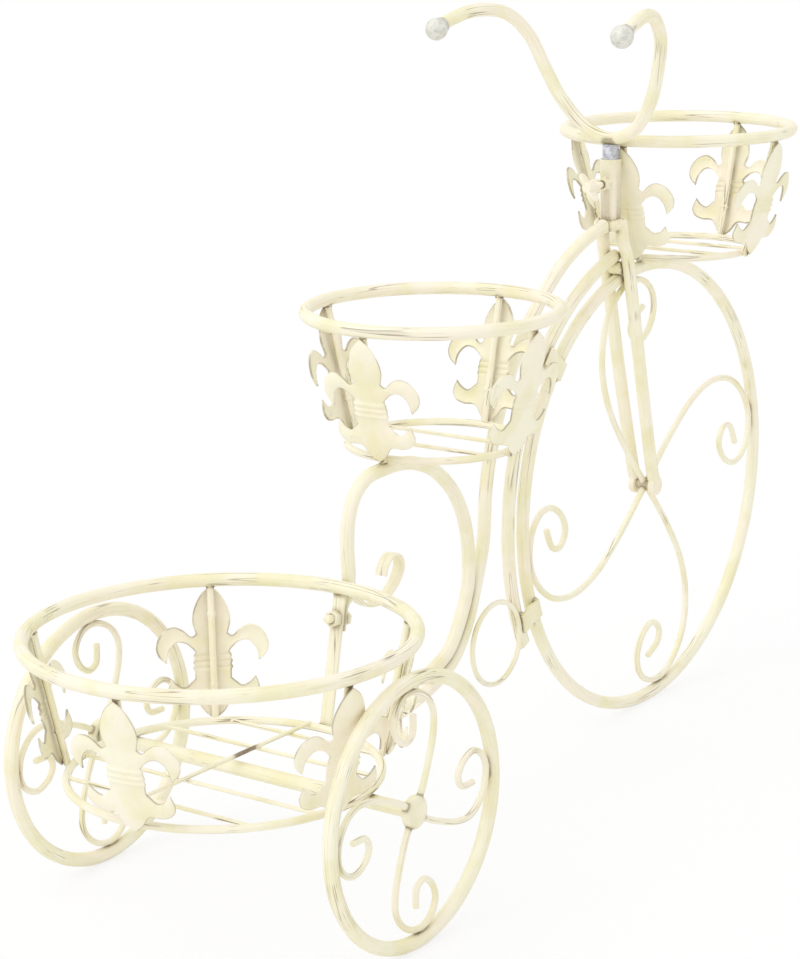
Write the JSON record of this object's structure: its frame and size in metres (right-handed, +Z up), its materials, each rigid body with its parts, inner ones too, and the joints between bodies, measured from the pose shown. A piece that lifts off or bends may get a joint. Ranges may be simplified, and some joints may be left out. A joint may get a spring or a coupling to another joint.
{
  "type": "plant stand",
  "caption": "Painted metal plant stand shaped like a tricycle, with a large front wheel, stepped round pot baskets and a handlebar set by a clamp screw.",
  "frame": {"origin": "on the ground, under the middle of the stand's bounding box", "axes": "+X from the rear basket towards the front wheel, +Y to the stand's left, +Z up"},
  "size_m": [0.8572, 0.281, 0.5765],
  "materials": {
    "cream_paint": "antique cream paint, satin, with brown wear brushed along edges and joints",
    "bare_steel": "bare drawn steel",
    "silver_white": "silvery white paint, slightly glossy"
  },
  "bodies": {
    "frame": {"front_hoop": "cream_paint", "front_hub_pin": "cream_paint", "front_scroll_1": "cream_paint", "front_scroll_2": "cream_paint", "front_scroll_3": "cream_paint", "front_scroll_4": "cream_paint", "rear_hoop_left": "cream_paint", "rear_hub_left": "cream_paint", "rear_scroll_left_1": "cream_paint", "rear_scroll_left_2": "cream_paint", "rear_scroll_left_3": "cream_paint", "rear_scroll_left_4": "cream_paint", "rear_hoop_right": "cream_paint", "rear_hub_right": "cream_paint", "rear_scroll_right_1": "cream_paint", "rear_scroll_right_2": "cream_paint", "rear_scroll_right_3": "cream_paint", "rear_scroll_right_4": "cream_paint", "rear_axle": "cream_paint", "main_tube": "cream_paint", "mudguard_tube": "cream_paint", "mudguard_strap_upper": "cream_paint", "mudguard_strap_lower": "cream_paint", "crown_pin": "cream_paint", "fork_leg_left": "cream_paint", "fork_leg_right": "cream_paint", "head_tube": "cream_paint", "arch_tube": "cream_paint", "scroll_strip": "cream_paint", "joint_post": "cream_paint", "joint_bolt": "cream_paint", "joint_nut": "cream_paint", "tail_ring": "cream_paint", "lower_rim": "cream_paint", "lower_cage": "cream_paint", "lower_lily_1": "cream_paint", "lower_lily_2": "cream_paint", "lower_lily_3": "cream_paint", "lower_lily_4": "cream_paint", "lower_lily_5": "cream_paint", "middle_rim": "cream_paint", "middle_cage": "cream_paint", "middle_lily_1": "cream_paint", "middle_lily_2": "cream_paint", "middle_lily_3": "cream_paint", "middle_lily_4": "cream_paint", "front_rim": "cream_paint", "front_cage": "cream_paint", "front_lily_1": "cream_paint", "front_lily_2": "cream_paint", "front_lily_3": "cream_paint", "front_lily_4": "cream_paint"},
    "handlebar_set": {"handlebar": "cream_paint", "handlebar_stem": "bare_steel", "knob_left": "silver_white", "knob_right": "silver_white"},
    "clamp": {"clamp_screw": "cream_paint"}
  },
  "joints": [
    {"name": "handlebar_height", "type": "slide", "parent": "frame", "child": "handlebar_set", "axis": [0, 0, 1], "range_m": [0, 0.03]},
    {"name": "clamp_screw_turn", "type": "hinge", "parent": "frame", "child": "clamp", "pos_m": [0.17, 0, 0.437], "axis": [1, 0, 0], "continuous": true}
  ]
}
